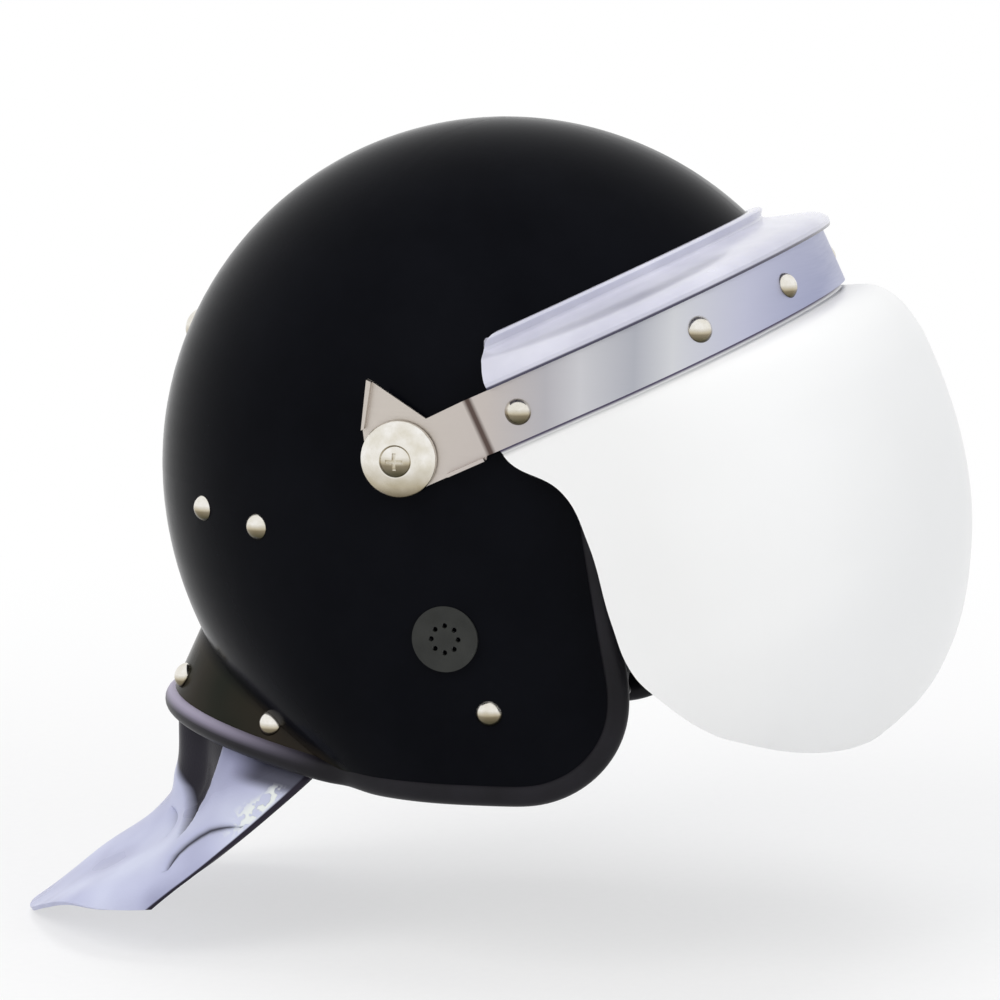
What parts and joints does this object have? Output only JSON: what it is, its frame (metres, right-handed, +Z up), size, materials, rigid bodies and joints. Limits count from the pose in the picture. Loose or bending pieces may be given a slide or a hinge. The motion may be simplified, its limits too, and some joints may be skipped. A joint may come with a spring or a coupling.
{
  "type": "riot helmet",
  "caption": "Open-face riot helmet with a tilting face shield on a riveted metal band, brow seal, flared nape and hanging neck guard.",
  "frame": {"origin": "middle of the axis that the visor turns on, inside the head, where the wearer's head carries the helmet", "axes": "+X forward to the visor, +Y the wearer's left, +Z up as worn"},
  "size_m": [0.4313, 0.2736, 0.363],
  "materials": {
    "shell_paint": "gloss black lacquer",
    "edge_rubber": "smooth black edging",
    "liner_foam": "dense dark foam",
    "pad_cloth": "dark brushed cloth over foam",
    "webbing": "black woven webbing",
    "buckle_plastic": "black moulded plastic",
    "cup_rubber": "black moulded rubber",
    "vent_plastic": "dark grey plastic",
    "guard_leather": "glossy black coated leather",
    "visor_clear": "pale glossy sheet",
    "band_steel": "satin bent strip",
    "seal_vinyl": "glossy pale grey vinyl",
    "nickel": "nickel plate"
  },
  "bodies": {
    "helmet": {"brow_pad": "pad_cloth", "buckle_socket": "buckle_plastic", "buckle_tongue": "buckle_plastic", "cheek_pad_left": "pad_cloth", "cheek_pad_right": "pad_cloth", "cheek_rivet_left": "nickel", "cheek_rivet_right": "nickel", "chin_cup": "cup_rubber", "crown_pad": "pad_cloth", "ear_vent_left": "vent_plastic", "ear_vent_right": "vent_plastic", "edge_trim": "edge_rubber", "impact_liner": "liner_foam", "nape_rivet_left_1": "nickel", "nape_rivet_left_2": "nickel", "nape_rivet_right_1": "nickel", "nape_rivet_right_2": "nickel", "neck_guard": "guard_leather", "pivot_cap_left": "nickel", "pivot_cap_right": "nickel", "pivot_collar_left": "nickel", "pivot_collar_right": "nickel", "pivot_nut_left": "nickel", "pivot_nut_right": "nickel", "pivot_screw_left": "nickel", "pivot_screw_right": "nickel", "pivot_washer_left": "nickel", "pivot_washer_right": "nickel", "rear_pad": "pad_cloth", "rear_stud": "nickel", "shell": "shell_paint", "side_rivet_left_1": "nickel", "side_rivet_left_2": "nickel", "side_rivet_right_1": "nickel", "side_rivet_right_2": "nickel", "strap_left": "webbing", "strap_right": "webbing"},
    "face_shield": {"band_rivet_1": "nickel", "band_rivet_2": "nickel", "band_rivet_3": "nickel", "band_rivet_4": "nickel", "band_rivet_5": "nickel", "band_rivet_6": "nickel", "brow_seal": "seal_vinyl", "visor": "visor_clear", "visor_band": "band_steel"}
  },
  "joints": [
    {"name": "visor_tilt", "type": "hinge", "parent": "helmet", "child": "face_shield", "pos_m": [0, 0, 0], "axis": [0, -1, 0], "range_deg": [0, 85]}
  ]
}
